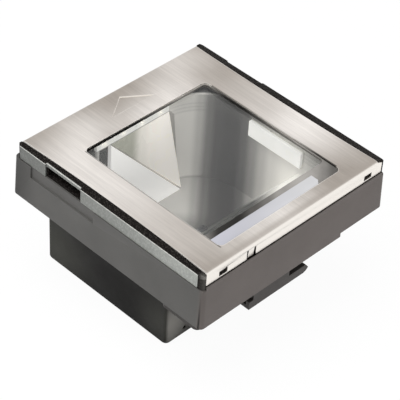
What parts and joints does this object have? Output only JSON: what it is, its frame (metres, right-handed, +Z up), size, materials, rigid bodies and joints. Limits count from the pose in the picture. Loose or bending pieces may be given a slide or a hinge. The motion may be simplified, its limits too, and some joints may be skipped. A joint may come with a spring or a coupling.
{
  "type": "barcode scanner",
  "caption": "Compact in-counter barcode scanner that reads upwards through a glass window set in a brushed steel cover, over an upper and a narrower lower housing.",
  "frame": {"origin": "centre of the footprint at the underside of the lower housing", "axes": "+Z up through the window; -Y towards the front, where the name strip and the bracket are; +X to the right, seen from the front"},
  "size_m": [0.1556, 0.1594, 0.097],
  "materials": {
    "top_cover": "brushed",
    "window_glass": "clear",
    "window_gasket": "matte",
    "name_strip": "satin",
    "top_frame": "textured",
    "left_trim": "satin",
    "right_trim": "satin",
    "upper_housing": "matte",
    "lower_housing": "matte",
    "front_plate": "matte",
    "plate_screws": "plated",
    "front_bracket": "matte",
    "bracket_screws": "plated",
    "housing_screws": "plated",
    "mount_inserts": "satin",
    "optics_well": "matte",
    "well_screws": "plated",
    "mirror_carrier": "matte",
    "upper_mirror": "polished",
    "lower_mirror": "polished",
    "bar_lens": "clear",
    "bar_board": "solder mask",
    "bar_lamps_set": "gloss",
    "side_diffuser": "diffusing",
    "side_board": "solder mask",
    "side_lamps_set": "gloss",
    "imager_housing": "matte",
    "lens_barrel": "black anodised",
    "front_lens": "coated",
    "imager_board": "solder mask",
    "image_sensor": "gloss",
    "imager_ribbon": "satin",
    "main_board": "solder mask",
    "board_chips": "matte",
    "shield_can": "tinned",
    "interface_socket": "matte",
    "service_socket": "matte",
    "power_socket": "matte",
    "beeper": "satin",
    "board_screws": "plated"
  },
  "bodies": {
    "root": {"top_cover": "top_cover", "window_glass": "window_glass", "window_gasket": "window_gasket", "name_strip": "name_strip", "top_frame": "top_frame", "left_trim": "left_trim", "right_trim": "right_trim", "upper_housing": "upper_housing", "lower_housing": "lower_housing", "front_plate": "front_plate", "plate_screws": "plate_screws", "front_bracket": "front_bracket", "bracket_screws": "bracket_screws", "housing_screws": "housing_screws", "mount_inserts": "mount_inserts", "optics_well": "optics_well", "well_screws": "well_screws", "mirror_carrier": "mirror_carrier", "upper_mirror": "upper_mirror", "lower_mirror": "lower_mirror", "bar_lens": "bar_lens", "bar_board": "bar_board", "bar_lamps_set": "bar_lamps_set", "side_diffuser": "side_diffuser", "side_board": "side_board", "side_lamps_set": "side_lamps_set", "imager_housing": "imager_housing", "lens_barrel": "lens_barrel", "front_lens": "front_lens", "imager_board": "imager_board", "image_sensor": "image_sensor", "imager_ribbon": "imager_ribbon", "main_board": "main_board", "board_chips": "board_chips", "shield_can": "shield_can", "interface_socket": "interface_socket", "service_socket": "service_socket", "power_socket": "power_socket", "beeper": "beeper", "board_screws": "board_screws"}
  },
  "joints": []
}
